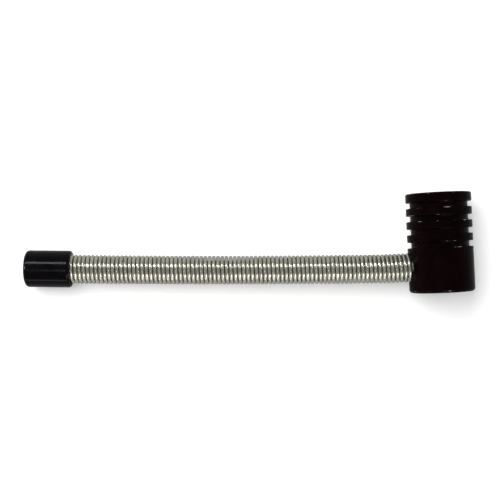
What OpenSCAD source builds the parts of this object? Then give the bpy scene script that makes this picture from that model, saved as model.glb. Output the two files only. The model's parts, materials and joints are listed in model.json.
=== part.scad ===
// Spring-stem pipe, lying on its side on a flat surface.
// +Z is up and z = 0 is that surface. The bowl's axis runs along +Y, with its mouth at +Y.
// The stem runs out of the bowl's side towards -X and ends in the mouthpiece.
// The origin is the middle of the bounding box's underside.

/* [Bowl] */
// Diameter of the bowl
bowl_d = 17; // [15:0.5:24]
// Height of the bowl, from its flat base to its mouth
bowl_h = 25.8; // [25.4:0.2:34]
// Radius of the edge round the base
base_edge_r = 0.9; // [0.3:0.1:1.2]
// Radius of the edge round the mouth
mouth_edge_r = 0.5; // [0.3:0.1:0.8]
// Diameter of the chamber
chamber_d = 11; // [10:0.5:11.5]
// Height of the chamber's floor above the base
chamber_floor = 11; // [10.8:0.1:11.6]
// Diameter of the screen's seat in that floor
seat_d = 9.6; // [9:0.1:9.8]
// Diameter of the well under the screen
well_d = 6.5; // [5:0.1:6.5]
// Height of the well's floor above the base
well_floor = 3.9; // [3:0.1:4.3]

/* [Cooling grooves] */
// Number of grooves round the bowl
grooves = 4; // [1:1:4]
// Width of a groove
groove_w = 1.45; // [1:0.05:1.8]
// Depth of a groove
groove_depth = 1.05; // [0.6:0.05:1.2]
// Radius of the edges between a groove and the bowl's side
fin_edge_r = 0.2; // [0.1:0.05:0.3]
// Distance from one groove to the next
groove_pitch = 3.42; // [3:0.02:3.5]
// Height of the lowest groove's middle above the base
first_groove = 12.4; // [12:0.05:12.6]

/* [Side port] */
// Height of the port's axis above the base
port_h = 6.7; // [6:0.05:6.8]
// Diameter of the recess that the spring and its fitting sit in
recess_d = 7.8; // [7.7:0.05:8]
// Distance of the recess's floor from the bowl's axis
recess_floor = 6.4; // [6.2:0.1:6.6]
// Nominal diameter of the thread
thread_d = 6; // [5.6:0.1:6]
// Pitch of the thread
thread_pitch = 0.75; // [0.5:0.25:1]
// Diameter of the smoke passage in the bowl and the mouthpiece
draught_d = 3; // [2.5:0.1:3.2]

/* [Stem] */
// Distance from the bowl's axis to the mouthpiece's outer end, along the stem
stem_reach = 108.8; // [104:0.2:116]
// Outer diameter of the spring
spring_d = 7.6; // [7.2:0.05:7.6]
// Diameter of the spring's wire
wire_d = 1; // [0.9:0.01:1.04]
// Distance from one turn of the spring to the next
turn_pitch = 1.1; // [1.06:0.01:1.3]
// Outer diameter of the inner hose
hose_d = 5; // [4.6:0.1:5]
// Bore of the inner hose
hose_bore = 3; // [2.8:0.1:3.2]
// Sideways set of the spring where it leaves its fitting, in degrees
stem_set = 1.85; // [0:0.05:4]
// Further sideways curve over the rest of the spring, in degrees
stem_curve = 1.4; // [0:0.1:3]

/* [Mouthpiece] */
// Diameter of the mouthpiece
mouth_d = 9.7; // [9.6:0.1:12]
// Length of the mouthpiece
mouth_l = 12.1; // [11:0.1:18]
// Radius of the mouthpiece's outer edge
lip_r = 1; // [0.5:0.1:2]
// Radius of the edge round the mouthpiece's recess
socket_edge_r = 0.7; // [0.2:0.1:0.7]
// Depth of the mouthpiece's recess
mouth_recess = 2; // [1.6:0.1:2.4]

/* [Hidden] */

$fn = 96;
eps = 0.01;              // overshoot of a cutting tool past a face
edge_break = 0.15;       // small chamfer on turned corners
bend_joints = 16;        // points along the stem where it bends, in turn sideways and up
arc_steps = 5;           // straight pieces in a rounded corner of an outline
wire_sides = 6;          // sides of the wire's section
turn_steps = 12;         // straight pieces in one turn of the wire
cut = 0.01;              // half of the cut between two sections of the stem

bowl_r = bowl_d / 2;
chamber_r = chamber_d / 2;
mouth_r = mouth_d / 2;
recess_r = recess_d / 2;
shank_r = thread_d / 2 - 0.05;    // running clearance in the threaded hole
root_r = shank_r - 0.3;           // bottom of the thread
washer_t = 0.5;
bend_clear = 1.2;                 // straight stem between a spigot and the nearest bend
flange_t = 0.7;
flange_r = recess_r - 0.15;
boss_l = 3;                       // the spring's end turns sit round this boss
boss_r = spring_d / 2 - wire_d - 0.18;
spigot_l = 3;                     // the hose is pushed onto this spigot
spigot_r = hose_bore / 2 - 0.02;
barb_r = hose_bore / 2 + 0.12;
nipple_bore_r = 1;
shank_l = 3.1;
screen_t = 0.4;
seat_r = seat_d / 2;
seat_depth = 0.5;
screen_r = seat_r - 0.12;

// Distances along the stem from the bowl's axis
spring_start = recess_floor + washer_t + flange_t;
mouth_start = stem_reach - mouth_l;
mouth_floor = mouth_start + mouth_recess;
spring_end = mouth_floor - washer_t - flange_t;
first_bend = spring_start + boss_l + spigot_l + bend_clear;
last_bend = spring_end - boss_l - spigot_l - bend_clear;
bend_gap = (last_bend - first_bend) / (bend_joints - 1);

// The bowl and the mouthpiece's outer edge both touch the surface, so the pipe leans about
// the bowl's axis by this angle.
end_angle = stem_angle(bend_joints);
lip_reach = bend_place(bend_joints - 1)[0] + (stem_reach - lip_r - last_bend) * cos(end_angle);
lip_arm = sqrt(pow(lip_reach, 2) + pow(mouth_r - lip_r, 2));
lean = asin((bowl_r - lip_r) / lip_arm) - atan((mouth_r - lip_r) / lip_reach);

// Lowest x of the leaning mouthpiece, before the origin is placed
along_x = cos(end_angle) * cos(lean);
low_x = -lip_reach * cos(lean) - (mouth_r - lip_r) * sqrt(1 - pow(along_x, 2)) - lip_r;
origin_x = (low_x + bowl_r) / 2;

function two_digits(i) = i < 10 ? str("0", i) : str(i);

// Distance along the stem of bend number i, counted from 0 at the bowl's end
function bend_at(i) = first_bend + bend_gap * i;

// Angle between section i of the stem and the port's axis
function stem_angle(i) = i == 0 ? 0 : stem_set + stem_curve * (i - 1) / (bend_joints - 1);

// Place of bend number i before the pipe leans, as its distance from the bowl's axis and
// its height above the base
function bend_place(i) =
    i == 0
    ? [first_bend, port_h]
    : bend_place(i - 1) + bend_gap * [cos(stem_angle(i)), sin(stem_angle(i))];

// Where section i of the stem starts and ends, between the limits low and high
function section_low(i, low) = i == 0 ? low : bend_at(i - 1);
function section_high(i, high) = i == bend_joints ? high : bend_at(i);

// Points of a round corner about (r, z), from angle a to angle b
function corner(r, z, radius, a, b) =
    [for (i = [0:arc_steps]) let (t = a + (b - a) * i / arc_steps) [r + radius * cos(t), z + radius * sin(t)]];

// Outline of one groove with rounded corners and edges
function groove_outline(z) =
    let (
        low = z - groove_w / 2,
        high = z + groove_w / 2,
        edge_r = bowl_r - fin_edge_r,
        round_r = groove_w / 4,
        floor_r = bowl_r - groove_depth + round_r
    )
    concat(
        corner(edge_r, low - fin_edge_r, fin_edge_r, 0, 90),
        corner(floor_r, low + round_r, round_r, 270, 180),
        corner(floor_r, high - round_r, round_r, 180, 90),
        corner(edge_r, high + fin_edge_r, fin_edge_r, 270, 360)
    );

// ---- Placing ----

// Leans the whole pipe onto the surface and puts the origin under its middle
module laid_down() {
    translate([-origin_x, -bowl_h / 2, bowl_r]) rotate([0, -lean, 0]) children();
}

// Turns what is built along +Z into the bowl's place
module on_bowl() {
    laid_down() rotate([-90, 0, 0]) children();
}

// Turns what is built along +Z into the port's axis, with z the distance from the bowl's axis
module on_port() {
    laid_down() translate([0, port_h, 0]) rotate([0, -90, 0]) children();
}

// The same for section i of the stem: section 0 follows the port, and each other one turns
// at the bend before it
module on_section(i) {
    if (i == 0) on_port() children();
    else laid_down() translate([-bend_place(i - 1)[0], bend_place(i - 1)[1], 0])
        rotate([0, 0, -stem_angle(i)]) translate([bend_at(i - 1), 0, 0]) rotate([0, -90, 0]) children();
}

// The same for what is joined to the stem's outer end
module on_stem_end() {
    on_section(bend_joints) children();
}

// ---- Bowl ----

module bowl_outside() {
    rotate_extrude() polygon(concat(
        [[0, 0]],
        corner(bowl_r - base_edge_r, base_edge_r, base_edge_r, 270, 360),
        [for (i = [0:grooves - 1]) each groove_outline(first_groove + groove_pitch * i)],
        corner(bowl_r - mouth_edge_r, bowl_h - mouth_edge_r, mouth_edge_r, 0, 90),
        [[0, bowl_h]]
    ));
}

module bowl() {
    mouth_break = 0.4;
    color([0.06, 0.055, 0.06]) on_bowl() difference() {
        bowl_outside();
        translate([0, 0, chamber_floor]) cylinder(h = bowl_h, r = chamber_r);
        translate([0, 0, chamber_floor - seat_depth]) cylinder(h = bowl_h, r = seat_r);
        translate([0, 0, bowl_h - mouth_break])
            cylinder(h = mouth_break + eps, r1 = chamber_r, r2 = chamber_r + mouth_break + eps);
        translate([0, 0, well_floor]) cylinder(h = bowl_h, r = well_d / 2);
        translate([0, 0, port_h]) rotate([0, -90, 0]) {
            cylinder(h = bowl_r, r = draught_d / 2);
            translate([0, 0, recess_floor - shank_l - 0.3]) cylinder(h = bowl_r, r = thread_d / 2);
            translate([0, 0, recess_floor]) cylinder(h = bowl_r, r = recess_r);
        }
    }
}

// Woven disc that keeps the filling out of the well: two layers of wires inside a rim
module screen() {
    wire_w = 0.3;
    wire_gap = 1.05;
    rim_w = 0.5;
    reach = floor(screen_r / wire_gap);
    color([0.72, 0.72, 0.7]) on_bowl() translate([0, 0, chamber_floor - seat_depth]) {
        difference() {
            cylinder(h = screen_t, r = screen_r);
            translate([0, 0, -eps]) cylinder(h = screen_t + 2 * eps, r = screen_r - rim_w);
        }
        intersection() {
            cylinder(h = screen_t, r = screen_r - rim_w / 2);
            union() {
                for (i = [-reach:reach]) {
                    translate([i * wire_gap - wire_w / 2, -screen_r, 0])
                        cube([wire_w, 2 * screen_r, screen_t * 0.6]);
                    translate([-screen_r, i * wire_gap - wire_w / 2, screen_t * 0.4])
                        cube([2 * screen_r, wire_w, screen_t * 0.6]);
                }
            }
        }
    }
}

// ---- Fittings ----

// Flat sealing ring, from z = 0
module washer() {
    difference() {
        cylinder(h = washer_t, r = flange_r);
        translate([0, 0, -eps]) cylinder(h = washer_t + 2 * eps, r = shank_r + 0.1);
    }
}

// Threaded fitting with z = 0 at the flange's sealing face: the shank points to -Z and the
// spring's boss and the hose's spigot point to +Z
module nipple() {
    ridges = floor(shank_l / thread_pitch) - 1;
    crest = thread_pitch / 8;
    ridge_h = shank_r - root_r;
    first_ridge = -shank_l - washer_t + 0.4;
    difference() {
        union() {
            rotate_extrude() polygon(concat(
                [[0, -shank_l - washer_t], [root_r, -shank_l - washer_t]],
                [for (i = [0:ridges]) let (z = first_ridge + thread_pitch * i) each [
                    [root_r, z - crest / 2], [shank_r, z + ridge_h / 2],
                    [shank_r, z + ridge_h / 2 + crest], [root_r, z + ridge_h + crest]
                ]],
                [
                    [root_r, 0], [flange_r - edge_break, 0], [flange_r, edge_break],
                    [flange_r, flange_t - edge_break], [flange_r - edge_break, flange_t],
                    [boss_r, flange_t], [boss_r, flange_t + boss_l - 0.3],
                    [boss_r - 0.3, flange_t + boss_l], [spigot_r, flange_t + boss_l]
                ],
                [
                    [spigot_r, flange_t + boss_l + 1.4], [barb_r, flange_t + boss_l + 1.5],
                    [spigot_r - 0.15, flange_t + boss_l + spigot_l], [0, flange_t + boss_l + spigot_l]
                ]
            ));
        }
        translate([0, 0, -shank_l - washer_t - eps])
            cylinder(h = shank_l + washer_t + flange_t + boss_l + spigot_l + 2 * eps, r = nipple_bore_r);
    }
}

module bowl_washer() {
    color([0.2, 0.19, 0.18]) on_port() translate([0, 0, recess_floor]) washer();
}

module bowl_nipple() {
    color([0.55, 0.54, 0.5]) on_port() translate([0, 0, recess_floor + washer_t]) nipple();
}

module mouth_nipple() {
    color([0.55, 0.54, 0.5]) on_stem_end() translate([0, 0, mouth_floor - washer_t]) mirror([0, 0, 1]) nipple();
}

module mouth_washer() {
    color([0.2, 0.19, 0.18]) on_stem_end() translate([0, 0, mouth_floor - washer_t]) washer();
}

// ---- Stem ----

// Points of the wire's section where its middle is z along the stem
function wire_section(z) =
    let (a = 360 * (z - spring_start - wire_d / 2) / turn_pitch, middle_r = (spring_d - wire_d) / 2)
    [for (k = [0:wire_sides - 1]) let (
        b = 360 * k / wire_sides,
        r = middle_r + wire_d / 2 * cos(b)
    ) [r * cos(a), r * sin(a), z + wire_d / 2 * sin(b)]];

// The helical wire from z = low to z = high, as one closed solid
module coil(low, high) {
    steps = ceil((high - low) / turn_pitch * turn_steps);
    rings = [for (i = [0:steps]) wire_section(low + (high - low) * i / steps)];
    side_faces = [for (i = [0:steps - 1]) for (k = [0:wire_sides - 1]) let (
        a = i * wire_sides + k,
        b = i * wire_sides + (k + 1) % wire_sides
    ) each [[a, b, b + wire_sides], [a, b + wire_sides, a + wire_sides]]];
    first_end = [for (k = [wire_sides - 1:-1:0]) k];
    last_end = [for (k = [0:wire_sides - 1]) steps * wire_sides + k];
    polyhedron(points = [for (ring = rings) each ring], faces = concat(side_faces, [first_end, last_end]));
}

// Section i of the outer spring
module spring_section(i) {
    half_wire = wire_d / 2;
    color([0.72, 0.71, 0.64]) on_section(i) coil(
        section_low(i, spring_start + half_wire) + (i > 0 ? cut : 0),
        section_high(i, spring_end - half_wire) - (i < bend_joints ? cut : 0)
    );
}

// How far the hose is cut back on each side of bend number i, so that its sections don't meet
// on the inside of the bend
function hose_cut(i) = cut + hose_d / 2 * tan((stem_angle(i + 1) - stem_angle(i)) / 2);

// Section i of the inner hose
module hose_section(i) {
    low = section_low(i, spring_start + boss_l) + (i > 0 ? hose_cut(i - 1) : 0);
    high = section_high(i, spring_end - boss_l) - (i < bend_joints ? hose_cut(i) : 0);
    color([0.1, 0.1, 0.09]) on_section(i) translate([0, 0, low]) difference() {
        cylinder(h = high - low, r = hose_d / 2);
        translate([0, 0, -eps]) cylinder(h = high - low + 2 * eps, r = hose_bore / 2);
    }
}

// ---- Mouthpiece ----

module mouthpiece() {
    color([0.06, 0.055, 0.06]) on_stem_end() difference() {
        rotate_extrude() polygon(concat(
            [[0, mouth_start]],
            corner(mouth_r - socket_edge_r, mouth_start + socket_edge_r, socket_edge_r, 270, 360),
            corner(mouth_r - lip_r, stem_reach - lip_r, lip_r, 0, 90),
            [[0, stem_reach]]
        ));
        translate([0, 0, mouth_start - eps]) cylinder(h = mouth_recess + eps, r = recess_r);
        translate([0, 0, mouth_floor - eps]) cylinder(h = shank_l + 0.5, r = thread_d / 2);
        translate([0, 0, mouth_floor]) cylinder(h = mouth_l, r = draught_d / 2);
        translate([0, 0, stem_reach - 2 * edge_break])
            cylinder(h = 2 * edge_break + eps, r1 = draught_d / 2, r2 = draught_d / 2 + 2 * edge_break + eps);
    }
}

bowl();
screen();
bowl_washer();
bowl_nipple();
for (i = [0:bend_joints]) {
    spring_section(i);
    hose_section(i);
}
mouth_nipple();
mouth_washer();
mouthpiece();
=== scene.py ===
import json
import math

import bpy
from mathutils import Matrix, Vector


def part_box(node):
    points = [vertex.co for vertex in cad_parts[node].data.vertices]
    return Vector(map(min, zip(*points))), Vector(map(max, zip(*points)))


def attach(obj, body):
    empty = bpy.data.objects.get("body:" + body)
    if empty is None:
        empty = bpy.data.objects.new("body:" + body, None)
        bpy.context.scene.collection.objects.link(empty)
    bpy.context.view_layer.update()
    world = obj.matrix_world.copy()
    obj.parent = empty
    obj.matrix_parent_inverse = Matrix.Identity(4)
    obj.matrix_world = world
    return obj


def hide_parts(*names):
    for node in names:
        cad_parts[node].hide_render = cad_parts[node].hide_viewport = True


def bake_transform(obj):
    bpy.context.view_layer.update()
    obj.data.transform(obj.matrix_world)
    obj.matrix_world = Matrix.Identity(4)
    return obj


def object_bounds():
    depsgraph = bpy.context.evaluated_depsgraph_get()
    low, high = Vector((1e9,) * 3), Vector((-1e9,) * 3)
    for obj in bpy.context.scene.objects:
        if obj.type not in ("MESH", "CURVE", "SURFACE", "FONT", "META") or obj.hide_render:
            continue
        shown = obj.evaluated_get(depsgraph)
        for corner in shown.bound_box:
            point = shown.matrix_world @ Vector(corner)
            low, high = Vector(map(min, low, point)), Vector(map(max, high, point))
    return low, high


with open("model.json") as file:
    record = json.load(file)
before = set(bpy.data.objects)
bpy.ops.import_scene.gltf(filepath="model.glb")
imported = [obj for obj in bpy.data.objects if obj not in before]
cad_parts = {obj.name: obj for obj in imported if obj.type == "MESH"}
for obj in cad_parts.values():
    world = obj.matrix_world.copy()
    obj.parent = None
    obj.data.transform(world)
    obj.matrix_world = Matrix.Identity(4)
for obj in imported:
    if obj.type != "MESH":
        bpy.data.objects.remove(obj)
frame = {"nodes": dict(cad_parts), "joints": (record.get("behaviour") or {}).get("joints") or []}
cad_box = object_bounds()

MM = 0.001

# ---- The frame's own directions and places ----

joints = {joint["name"]: joint for joint in frame["joints"]}
hinges = [joint for joint in frame["joints"] if joint["name"].split("_")[0] in ("bend", "lift")]
pivots = [Vector(joint["pos_m"]) for joint in hinges]
gap = (pivots[1] - pivots[0]).length            # from one bending point of the stem to the next
port_axis = Vector(joints["stem_screw"]["axis"])
stem_axis = Vector(joints["mouth_screw"]["axis"])
up = -Vector(joints["bend_1"]["axis"])          # square to both axes
side = up.cross(port_axis)

# The angle from the port's axis of each straight section of the stem, between its bending points
sections = [port_axis] + [after - before for before, after in zip(pivots, pivots[1:])] + [stem_axis]
angles = [math.atan2(port_axis.cross(section).dot(up), port_axis.dot(section)) for section in sections]

bowl_low, bowl_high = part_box("bowl")
bowl_r = (bowl_high.x - bowl_low.x) / 2
bowl_axis_point = Vector(((bowl_low.x + bowl_high.x) / 2, bowl_low.y, (bowl_low.z + bowl_high.z) / 2))
bowl_axis = Vector((0, 1, 0))


def reach(node, start, axis):
    """How far a CAD node's lowest and highest vertices lie along an axis from a point."""
    distances = [(vertex.co - start).dot(axis) for vertex in frame["nodes"][node].data.vertices]
    return min(distances), max(distances)


# ---- Camera ----

VIEW_HEIGHT = 312 * MM         # from the surface to the lens
VIEW_WIDTH = 130.15 * MM       # width of the picture, at the height of the bowl's axis
BOWL_RIGHT = 49.77 * MM        # how far the bowl's port is to the right of the picture's middle
BOWL_BELOW = 4.22 * MM         # and how far below the middle it is
PICTURE_TILT = math.radians(2.65)   # of the bowl's axis from upright in the picture


def make_camera():
    """Makes the camera, which looks straight down, and returns the picture's right, up and middle."""
    data = bpy.data.cameras.new("camera")
    data.sensor_width = 36
    data.lens = data.sensor_width / 2 * (VIEW_HEIGHT - bowl_r) / (VIEW_WIDTH / 2)
    data.dof.use_dof = False
    camera = bpy.data.objects.new("camera", data)
    bpy.context.scene.collection.objects.link(camera)
    right = Matrix.Rotation(-PICTURE_TILT, 3, "Z") @ Vector((1, 0, 0))
    above = Vector((-right.y, right.x, 0))
    port = pivots[0] + port_axis * ((bowl_axis_point - pivots[0]).x / port_axis.x)
    middle = port - right * BOWL_RIGHT + above * BOWL_BELOW
    turn = Matrix((right, above, Vector((0, 0, 1)))).transposed()
    camera.matrix_world = Matrix.Translation((middle.x, middle.y, VIEW_HEIGHT)) @ turn.to_4x4()
    bpy.context.scene.camera = camera
    return right, above, Vector((middle.x, middle.y, 0))


picture_right, picture_up, picture_middle = make_camera()

# ---- Materials ----


def new_material(name):
    """A new material with its nodes, links and shader."""
    material = bpy.data.materials.new(name)
    material.use_nodes = True
    nodes = material.node_tree.nodes
    return material, nodes, material.node_tree.links, nodes["Principled BSDF"]


def value_ramp(nodes, links, source, stops):
    """A colour ramp from a value, with stops of (place, colour)."""
    ramp = nodes.new("ShaderNodeValToRGB")
    while len(ramp.color_ramp.elements) < len(stops):
        ramp.color_ramp.elements.new(0.5)
    for element, (place, colour) in zip(ramp.color_ramp.elements, stops):
        element.position = place
        element.color = (*colour, 1)
    links.new(source, ramp.inputs[0])
    return ramp.outputs[0]


def grey(level):
    return (level, level, level)


def noise(nodes, links, vector, scale, detail):
    """A noise value from a vector, with the noise's features about 1 / scale metres wide."""
    texture = nodes.new("ShaderNodeTexNoise")
    texture.inputs["Scale"].default_value = scale
    texture.inputs["Detail"].default_value = detail
    links.new(vector, texture.inputs["Vector"])
    return texture.outputs["Fac"]


def maths(nodes, links, operation, *values):
    """The result of a Math node whose inputs are sockets or numbers."""
    node = nodes.new("ShaderNodeMath")
    node.operation = operation
    for socket, value in zip(node.inputs, values):
        if isinstance(value, bpy.types.NodeSocket):
            links.new(value, socket)
        else:
            socket.default_value = value
    return node.outputs[0]


def vector_maths(nodes, links, operation, vector, constant=None):
    """The result of a Vector Math node on a socket and, where it takes two, a constant vector."""
    node = nodes.new("ShaderNodeVectorMath")
    node.operation = operation
    links.new(vector, node.inputs[0])
    if constant is not None:
        node.inputs[1].default_value = constant
    return node.outputs["Value" if operation in ("LENGTH", "DOT_PRODUCT") else "Vector"]


def step_between(nodes, links, value, low, high):
    """0 below low, 1 above high and a smooth rise between them."""
    node = nodes.new("ShaderNodeMapRange")
    node.interpolation_type = "SMOOTHSTEP"
    node.inputs["From Min"].default_value, node.inputs["From Max"].default_value = low, high
    links.new(value, node.inputs["Value"])
    return node.outputs["Result"]


WEAR_AND_HIGHLIGHT_COLOUR = (0.30, 0.29, 0.27, 1)      # lighter grey bare aluminium on the corners: wear, and painted highlights where edges catch the light
WEAR_HIGHLIGHT_FACING = (0.2, 0.5)          # how far a corner's surface faces along the axis, for none and for all of the wear and painted highlight
WEAR_HIGHLIGHT_REACH = 0.22 * MM            # depth under the outside where the wear and painted highlight fade out
WEAR_HIGHLIGHT_REACH_FULL = 0.04 * MM       # depth under the outside within which they are full
WEAR_HIGHLIGHT_SCALE = 480                  # of the noise that sets the patches of wear and painted highlight
WEAR_HIGHLIGHT_PATCHES = (0.58, 0.70)       # that noise's levels for none and for all of the wear and painted highlight


def edge_wear_and_highlights(nodes, links, origin, axis, radius):
    """1 in patches on the corners of a turned part of this radius, which stand for wear from handling and are
    also painted highlights where the edges catch the light.
    """
    place = nodes.new("ShaderNodeTexCoord")
    offset = vector_maths(nodes, links, "SUBTRACT", place.outputs["Object"], origin)
    off_axis = vector_maths(nodes, links, "CROSS_PRODUCT", offset, axis)
    distance = vector_maths(nodes, links, "LENGTH", off_axis)
    facing = vector_maths(nodes, links, "DOT_PRODUCT", place.outputs["Normal"], axis)
    faces_out = step_between(nodes, links, maths(nodes, links, "ABSOLUTE", facing), *WEAR_HIGHLIGHT_FACING)
    near_rim = step_between(nodes, links, distance, radius - WEAR_HIGHLIGHT_REACH, radius - WEAR_HIGHLIGHT_REACH_FULL)
    corner = maths(nodes, links, "MULTIPLY", faces_out, near_rim)
    patches = noise(nodes, links, place.outputs["Object"], WEAR_HIGHLIGHT_SCALE, 4)
    patches = step_between(nodes, links, patches, *WEAR_HIGHLIGHT_PATCHES)
    return maths(nodes, links, "MULTIPLY", corner, patches)


def along(nodes, links, origin, axis):
    """Object coordinates flattened onto an axis, so that a texture runs in rings round it."""
    place = nodes.new("ShaderNodeTexCoord").outputs["Object"]
    offset = vector_maths(nodes, links, "SUBTRACT", place, origin)
    line = nodes.new("ShaderNodeCombineXYZ")
    links.new(vector_maths(nodes, links, "DOT_PRODUCT", offset, axis), line.inputs[0])
    return line.outputs[0]


def bump(nodes, links, height, strength, distance):
    """A shader normal from a height value from 0 to 1, whose full height is distance in metres."""
    relief = nodes.new("ShaderNodeBump")
    relief.inputs["Strength"].default_value = strength
    relief.inputs["Distance"].default_value = distance
    links.new(height, relief.inputs["Height"])
    return relief.outputs[0]


def black_anodised(name, origin, axis, radius, gloss, dark, light):
    """Glossy black anodised aluminium with fine turning rings, faint handling marks and corner patches of
    bare aluminium, which are wear and also painted highlights.

    Its colour goes from dark to light, and radius is that of the turned part.
    """
    material, nodes, links, shader = new_material(name)
    rings = along(nodes, links, origin, axis)
    fine = noise(nodes, links, rings, 9000, 2)
    place = nodes.new("ShaderNodeTexCoord").outputs["Object"]
    cloud = noise(nodes, links, place, 260, 4)
    shader.inputs["Metallic"].default_value = 0.0
    shader.inputs["Specular IOR Level"].default_value = gloss
    # Bare aluminium patches on the corners: wear from handling, and painted highlights standing in for light
    # catching the edges.
    wear_and_highlights = nodes.new("ShaderNodeMix")
    wear_and_highlights.data_type = "RGBA"
    links.new(edge_wear_and_highlights(nodes, links, origin, axis, radius), wear_and_highlights.inputs["Factor"])
    links.new(value_ramp(nodes, links, cloud, [(0.35, dark), (0.7, light)]), wear_and_highlights.inputs["A"])
    wear_and_highlights.inputs["B"].default_value = WEAR_AND_HIGHLIGHT_COLOUR
    links.new(wear_and_highlights.outputs["Result"], shader.inputs["Base Color"])
    links.new(value_ramp(nodes, links, cloud, [(0.3, grey(0.12)), (0.75, grey(0.19))]),
              shader.inputs["Roughness"])
    links.new(bump(nodes, links, fine, 0.12, 0.02 * MM), shader.inputs["Normal"])
    return material


def spring_steel():
    """Plated spring wire: bright, slightly warm, with drawing marks and uneven tarnish."""
    material, nodes, links, shader = new_material("spring_wire")
    place = nodes.new("ShaderNodeTexCoord").outputs["Object"]
    cloud = noise(nodes, links, place, 420, 4)
    grain = noise(nodes, links, place, 6000, 2)
    shader.inputs["Metallic"].default_value = 1.0
    links.new(value_ramp(nodes, links, cloud, [(0.3, (0.50, 0.49, 0.415)), (0.7, (0.66, 0.65, 0.575))]),
              shader.inputs["Base Color"])
    links.new(value_ramp(nodes, links, cloud, [(0.3, grey(0.30)), (0.7, grey(0.19))]),
              shader.inputs["Roughness"])
    links.new(bump(nodes, links, grain, 0.10, 0.01 * MM), shader.inputs["Normal"])
    return material


def hose_rubber():
    """Dark smooth hose with faint mottling."""
    material, nodes, links, shader = new_material("hose_rubber")
    place = nodes.new("ShaderNodeTexCoord").outputs["Object"]
    cloud = noise(nodes, links, place, 900, 3)
    links.new(value_ramp(nodes, links, cloud, [(0.3, (0.040, 0.040, 0.030)), (0.7, (0.065, 0.065, 0.050))]),
              shader.inputs["Base Color"])
    shader.inputs["Roughness"].default_value = 0.42
    links.new(bump(nodes, links, cloud, 0.2, 0.02 * MM), shader.inputs["Normal"])
    return material


def dull_nickel(name, origin, axis):
    """Dull nickel plating over turned brass, with rings round its axis."""
    material, nodes, links, shader = new_material(name)
    fine = noise(nodes, links, along(nodes, links, origin, axis), 7000, 2)
    place = nodes.new("ShaderNodeTexCoord").outputs["Object"]
    cloud = noise(nodes, links, place, 500, 3)
    shader.inputs["Metallic"].default_value = 1.0
    links.new(value_ramp(nodes, links, cloud, [(0.3, (0.26, 0.25, 0.22)), (0.7, (0.36, 0.35, 0.31))]),
              shader.inputs["Base Color"])
    links.new(value_ramp(nodes, links, cloud, [(0.3, grey(0.34)), (0.7, grey(0.22))]),
              shader.inputs["Roughness"])
    links.new(bump(nodes, links, fine, 0.25, 0.02 * MM), shader.inputs["Normal"])
    return material


def washer_rubber():
    """Matt rubber with a fine grain."""
    material, nodes, links, shader = new_material("sealing_rubber")
    place = nodes.new("ShaderNodeTexCoord").outputs["Object"]
    grain = noise(nodes, links, place, 2500, 3)
    links.new(value_ramp(nodes, links, grain, [(0.3, (0.030, 0.026, 0.023)), (0.7, (0.055, 0.048, 0.043))]),
              shader.inputs["Base Color"])
    shader.inputs["Roughness"].default_value = 0.75
    links.new(bump(nodes, links, grain, 0.3, 0.03 * MM), shader.inputs["Normal"])
    return material


def screen_steel():
    """Steel wire with uneven tarnish."""
    material, nodes, links, shader = new_material("screen_mesh")
    place = nodes.new("ShaderNodeTexCoord").outputs["Object"]
    cloud = noise(nodes, links, place, 700, 3)
    shader.inputs["Metallic"].default_value = 1.0
    links.new(value_ramp(nodes, links, cloud, [(0.3, (0.46, 0.45, 0.42)), (0.7, (0.64, 0.63, 0.60))]),
              shader.inputs["Base Color"])
    links.new(value_ramp(nodes, links, cloud, [(0.3, grey(0.40)), (0.7, grey(0.26))]),
              shader.inputs["Roughness"])
    return material


def dress(piece, material):
    """Gives a piece one material."""
    piece.data.materials.clear()
    piece.data.materials.append(material)
    return piece


# ---- Mesh building ----


def mesh_object(name, vertices, faces):
    """A smooth-shaded mesh object in the scene."""
    mesh = bpy.data.meshes.new(name)
    mesh.from_pydata(vertices, [], faces)
    mesh.validate()
    for polygon in mesh.polygons:
        polygon.use_smooth = True
    piece = bpy.data.objects.new(name, mesh)
    bpy.context.scene.collection.objects.link(piece)
    return piece


def tube_faces(rings, sides):
    """Faces of a closed tube whose vertices come ring after ring."""
    faces = []
    for ring in range(rings - 1):
        for k in range(sides):
            a, b = ring * sides + k, ring * sides + (k + 1) % sides
            faces.append((a, b, b + sides, a + sides))
    faces.append(tuple(range(sides - 1, -1, -1)))
    faces.append(tuple((rings - 1) * sides + k for k in range(sides)))
    return faces


def loop_faces(rings, sides):
    """Faces of a tube that closes on itself, whose vertices come ring after ring."""
    faces = []
    for ring in range(rings):
        onward = (ring + 1) % rings
        for k in range(sides):
            beside = (k + 1) % sides
            faces.append((ring * sides + k, ring * sides + beside,
                          onward * sides + beside, onward * sides + k))
    return faces


# ---- Stem: the spring and the hose bend across one joint at a time ----

WIRE_D = 1.0 * MM
SPRING_D = 7.6 * MM
TURN_PITCH = 1.1 * MM
WIRE_SIDES = 12
TURN_STEPS = 60                # steps in one turn of the wire
HOSE_D = 5.0 * MM
HOSE_BORE = 3.0 * MM
HOSE_SIDES = 40
HOSE_STEPS = 12                # steps along one piece of the hose
WIRE_SHARP = math.radians(60)  # edges sharper than this, round the cut ends, aren't shaded smooth
HOSE_SHARP = math.radians(50)

spring_low = reach("spring_00", pivots[0], port_axis)[0] + WIRE_D / 2
hose_low = reach("hose_00", pivots[0], port_axis)[0]
last_pivot = gap * (len(pivots) - 1)
spring_high = last_pivot + reach("spring_16", pivots[-1], stem_axis)[1] - WIRE_D / 2
hose_high = last_pivot + reach("hose_16", pivots[-1], stem_axis)[1]


def smooth(t):
    """0 up to t = 0, 1 from t = 1, and a smooth rise between them."""
    t = min(max(t, 0), 1)
    return t * t * (3 - 2 * t)


def set_in_place(s, offset):
    """The place of a point s along the straightened stem and offset from it, once the stem has its curve."""
    nearest = min(max(round(s / gap), 0), len(pivots) - 1)
    s -= gap * nearest
    angle = angles[nearest] + (angles[nearest + 1] - angles[nearest]) * smooth(s / gap + 0.5)
    return pivots[nearest] + Matrix.Rotation(angle, 3, up) @ (port_axis * s + offset)


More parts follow.
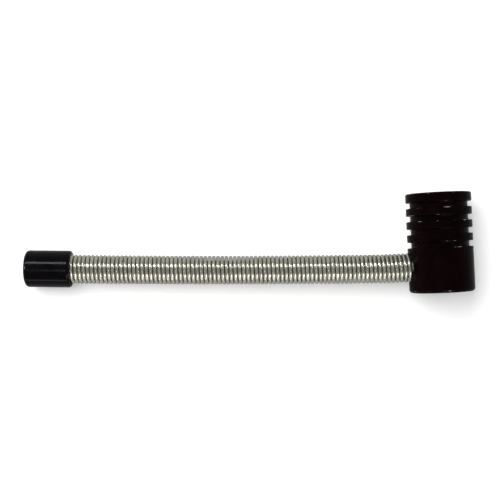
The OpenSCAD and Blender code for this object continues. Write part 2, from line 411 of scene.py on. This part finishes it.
def wire_ring(s):
    """One ring of points round the spring's wire."""
    angle = 2 * math.pi * (s - spring_low) / TURN_PITCH
    middle_r = (SPRING_D - WIRE_D) / 2
    outward = side * math.cos(angle) + up * math.sin(angle)
    onward = up * math.cos(angle) - side * math.sin(angle)
    onward = (onward * 2 * math.pi * middle_r + port_axis * TURN_PITCH).normalized()
    across = onward.cross(outward)
    turns = [2 * math.pi * k / WIRE_SIDES for k in range(WIRE_SIDES)]
    return [set_in_place(s, outward * (middle_r + WIRE_D / 2 * math.cos(t))
                         + across * (WIRE_D / 2 * math.sin(t))) for t in turns]


def spring_piece(number, low, high):
    """One length of the spring's wire, with closed ends."""
    steps = math.ceil((high - low) / TURN_PITCH * TURN_STEPS)
    vertices = [point for i in range(steps + 1) for point in wire_ring(low + (high - low) * i / steps)]
    piece = mesh_object(f"spring_wire_{number:02d}", vertices, tube_faces(steps + 1, WIRE_SIDES))
    piece.data.set_sharp_from_angle(angle=WIRE_SHARP)
    return piece


def hose_piece(number, low, high):
    """One length of the hose: rings up its outside and back down its bore."""
    places = [low + (high - low) * i / HOSE_STEPS for i in range(HOSE_STEPS + 1)]
    rings = [(s, HOSE_D / 2) for s in places] + [(s, HOSE_BORE / 2) for s in reversed(places)]
    vertices = []
    for s, radius in rings:
        for k in range(HOSE_SIDES):
            t = 2 * math.pi * k / HOSE_SIDES
            vertices.append(set_in_place(s, (side * math.cos(t) + up * math.sin(t)) * radius))
    piece = mesh_object(f"hose_tube_{number:02d}", vertices, loop_faces(len(rings), HOSE_SIDES))
    piece.data.set_sharp_from_angle(angle=HOSE_SHARP)
    return piece


def make_stem():
    """Makes one length of spring and one of hose round each bending point."""
    wire, rubber = spring_steel(), hose_rubber()
    last = len(hinges) - 1
    for number, hinge in enumerate(hinges):
        low, high = gap * (number - 0.5), gap * (number + 0.5)
        first_piece, last_piece = number == 0, number == last
        spring = spring_piece(number, spring_low if first_piece else low, spring_high if last_piece else high)
        hose = hose_piece(number, hose_low if first_piece else low, hose_high if last_piece else high)
        for piece, material, slot, node in (
                (spring, wire, "spring_wire", "spring"), (hose, rubber, "hose_rubber", "hose")):
            dress(piece, material)
            replaced = [f"{node}_{number:02d}"] + ([f"{node}_{number + 1:02d}"] if last_piece else [])
            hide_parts(*replaced)
            set_in_place(low, Vector())
            set_in_place(high, Vector())
            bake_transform(piece)


make_stem()

# ---- Screen: wires woven over and under each other, in a rolled rim ----

MESH_WIRE_D = 0.19 * MM
MESH_PITCH = 0.62 * MM
RIM_W = 0.55 * MM
STEPS_A_CROSSING = 6
MESH_WIRE_SIDES = 8
RIM_TURNS, RIM_SIDES = 96, 12


def round_tube(path, radius, sides):
    """Vertices and faces of a closed tube along a path that waves along the bowl's axis."""
    rings = []
    for i, point in enumerate(path):
        onward = (path[min(i + 1, len(path) - 1)] - path[max(i - 1, 0)]).normalized()
        across = onward.cross(bowl_axis).normalized()
        above = across.cross(onward)
        for k in range(sides):
            t = 2 * math.pi * k / sides
            rings.append(point + (across * math.cos(t) + above * math.sin(t)) * radius)
    return rings, tube_faces(len(path), sides)


def woven_screen():
    """The screen: two sets of wires that cross over and under each other, and a rolled rim."""
    low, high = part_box("screen")
    centre = (low + high) / 2
    radius, half = (high.x - low.x) / 2, (high.y - low.y) / 2
    wire_reach = radius - RIM_W / 2
    count = math.floor(wire_reach / MESH_PITCH)
    vertices, faces = [], []

    def add(points, polygons):
        start = len(vertices)
        vertices.extend(points)
        faces.extend(tuple(start + i for i in polygon) for polygon in polygons)

    warp, weft = Vector((1, 0, 0)), Vector((0, 0, 1))
    for direction, other, phase in ((warp, weft, 0), (weft, warp, 1)):
        for n in range(-count, count + 1):
            chord = math.sqrt(wire_reach ** 2 - (n * MESH_PITCH) ** 2)
            steps = max(2, round(2 * chord / MESH_PITCH * STEPS_A_CROSSING))
            path = []
            for i in range(steps + 1):
                s = -chord + 2 * chord * i / steps
                wave = math.cos(math.pi * (s / MESH_PITCH + n + phase)) * MESH_WIRE_D / 2
                path.append(centre + direction * s + other * (n * MESH_PITCH) + bowl_axis * wave)
            add(*round_tube(path, MESH_WIRE_D / 2, MESH_WIRE_SIDES))
    rim = []
    for i in range(RIM_TURNS):
        t = 2 * math.pi * i / RIM_TURNS
        outward = Vector((math.cos(t), 0, math.sin(t)))
        for k in range(RIM_SIDES):
            u = 2 * math.pi * k / RIM_SIDES
            out = radius - RIM_W / 2 + RIM_W / 2 * math.cos(u)
            rim.append(centre + outward * out + bowl_axis * (half * math.sin(u)))
    add(rim, loop_faces(RIM_TURNS, RIM_SIDES))
    return mesh_object("woven_screen", vertices, faces)


# ---- The other pieces: the CAD's own shapes, and the screen ----

mouth_place = Vector(joints["mouth_screw"]["pos_m"])
port_place = Vector(joints["stem_screw"]["pos_m"])
mouth_r = 4.85 * MM            # the mouthpiece's radius
bowl_black = black_anodised("bowl_black", bowl_axis_point, bowl_axis, bowl_r, gloss=0.036,
                            dark=(0.0018, 0.0003, 0.0004), light=(0.0036, 0.0009, 0.0011))
mouth_black = black_anodised("mouthpiece_black", mouth_place, stem_axis, mouth_r, gloss=0.075,
                             dark=(0.0012, 0.0008, 0.0014), light=(0.0024, 0.0018, 0.0030))
dress(frame["nodes"]["bowl"], bowl_black)
dress(frame["nodes"]["mouthpiece"], mouth_black)
bowl_nickel = dull_nickel("bowl_fitting_nickel", port_place, port_axis)
mouth_nickel = dull_nickel("mouth_fitting_nickel", mouth_place, stem_axis)
dress(frame["nodes"]["bowl_nipple"], bowl_nickel)
dress(frame["nodes"]["mouth_nipple"], mouth_nickel)
seal = washer_rubber()
dress(frame["nodes"]["bowl_washer"], seal)
dress(frame["nodes"]["mouth_washer"], seal)
screen = dress(woven_screen(), screen_steel())
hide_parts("screen")
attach(screen, "screen")

# ---- Floor and light ----

FLOOR_SIZE = 4.0              # metres a side
FLOOR_GLOW = 0.30             # keeps the floor white and its shadows pale
FLOOR_IN_GLOSS = 0.46         # the floor as reflections show it
BACKDROP = 0.95               # the room where the camera sees it past the floor
ZENITH, HORIZON = 0.29, 0.56  # brightness of the room overhead and at the sides


def make_floor():
    """Makes a plain pale floor, which reflections see as darker than the camera does."""
    edge = FLOOR_SIZE / 2
    floor = mesh_object("floor", [(-edge, -edge, 0), (edge, -edge, 0), (edge, edge, 0), (-edge, edge, 0)],
                        [(0, 1, 2, 3)])
    floor.location.z = cad_box[0].z
    material, nodes, links, shader = new_material("white_floor")
    place = nodes.new("ShaderNodeTexCoord").outputs["Object"]
    mottle = noise(nodes, links, place, 30, 2)
    paper = value_ramp(nodes, links, mottle, [(0.3, grey(0.86)), (0.7, grey(0.88))])
    glossy = nodes.new("ShaderNodeLightPath").outputs["Is Glossy Ray"]

    def dimmed_in_gloss(level, socket):
        """Leads white, or what is linked to the result's A, to a socket, and a grey level to glossy rays."""
        dimmer = nodes.new("ShaderNodeMix")
        dimmer.data_type = "RGBA"
        dimmer.inputs["A"].default_value = (1, 1, 1, 1)
        dimmer.inputs["B"].default_value = (*grey(level), 1)
        links.new(glossy, dimmer.inputs["Factor"])
        links.new(dimmer.outputs["Result"], socket)
        return dimmer

    links.new(paper, dimmed_in_gloss(FLOOR_IN_GLOSS, shader.inputs["Base Color"]).inputs["A"])
    dimmed_in_gloss(0, shader.inputs["Emission Color"])
    shader.inputs["Roughness"].default_value = 0.9
    shader.inputs["Specular IOR Level"].default_value = 0.1
    shader.inputs["Emission Strength"].default_value = FLOOR_GLOW
    floor.data.materials.append(material)


def area_light(name, right, above, height, width, depth, power, in_gloss=True, in_matt=True):
    """A soft light at a place given in the picture's own directions.

    Its width runs across the picture, and it is tilted towards the picture's middle. It lights matt surfaces,
    shows in glossy ones, or both. Lengths are in metres and the power is in watts.
    """
    data = bpy.data.lights.new(name, "AREA")
    data.shape = "RECTANGLE"
    data.size, data.size_y = width, depth
    data.energy = power
    light = bpy.data.objects.new(name, data)
    bpy.context.scene.collection.objects.link(light)
    light.visible_glossy, light.visible_diffuse = in_gloss, in_matt
    light.location = picture_middle + picture_right * right + picture_up * above + Vector((0, 0, height))
    back = (picture_up * above + Vector((0, 0, height))).normalized()
    turn = Matrix((picture_right, back.cross(picture_right), back)).transposed()
    light.rotation_mode = "QUATERNION"
    light.rotation_quaternion = turn.to_quaternion()


def make_light():
    """Makes the room's even light, one soft light, and five that only glossy surfaces show."""
    world = bpy.data.worlds.new("studio")
    world.use_nodes = True
    nodes, links = world.node_tree.nodes, world.node_tree.links
    height = nodes.new("ShaderNodeSeparateXYZ")
    links.new(nodes.new("ShaderNodeTexCoord").outputs["Generated"], height.inputs[0])
    sky = value_ramp(nodes, links, height.outputs["Z"], [(0.0, grey(HORIZON)), (0.6, grey(ZENITH))])
    backdrop = nodes.new("ShaderNodeMix")
    backdrop.data_type = "RGBA"
    links.new(nodes.new("ShaderNodeLightPath").outputs["Is Camera Ray"], backdrop.inputs["Factor"])
    links.new(sky, backdrop.inputs["A"])
    backdrop.inputs["B"].default_value = (*grey(BACKDROP), 1)
    links.new(backdrop.outputs["Result"], nodes["Background"].inputs["Color"])
    bpy.context.scene.world = world
    # name, place to the right, above and up, width, depth, power
    area_light("soft", -0.52, 0.37, 1.0, 0.95, 0.95, 17.5, in_gloss=False)
    area_light("key", -0.56, 0.60, 0.76, 0.75, 0.12, 6.5, in_matt=False)
    area_light("fill", 0.45, -0.75, 0.64, 0.9, 0.34, 4.5, in_matt=False)
    area_light("low", -0.25, -0.98, 0.24, 1.1, 0.12, 1.5, in_matt=False)
    area_light("lamp", -0.235, -0.20, 1.0, 0.05, 0.05, 0.25, in_matt=False)
    area_light("edge", 0.80, 0.45, 0.7, 0.06, 0.06, 1.6, in_matt=False)
    bpy.context.scene.view_settings.view_transform = "Standard"


make_floor()
make_light()
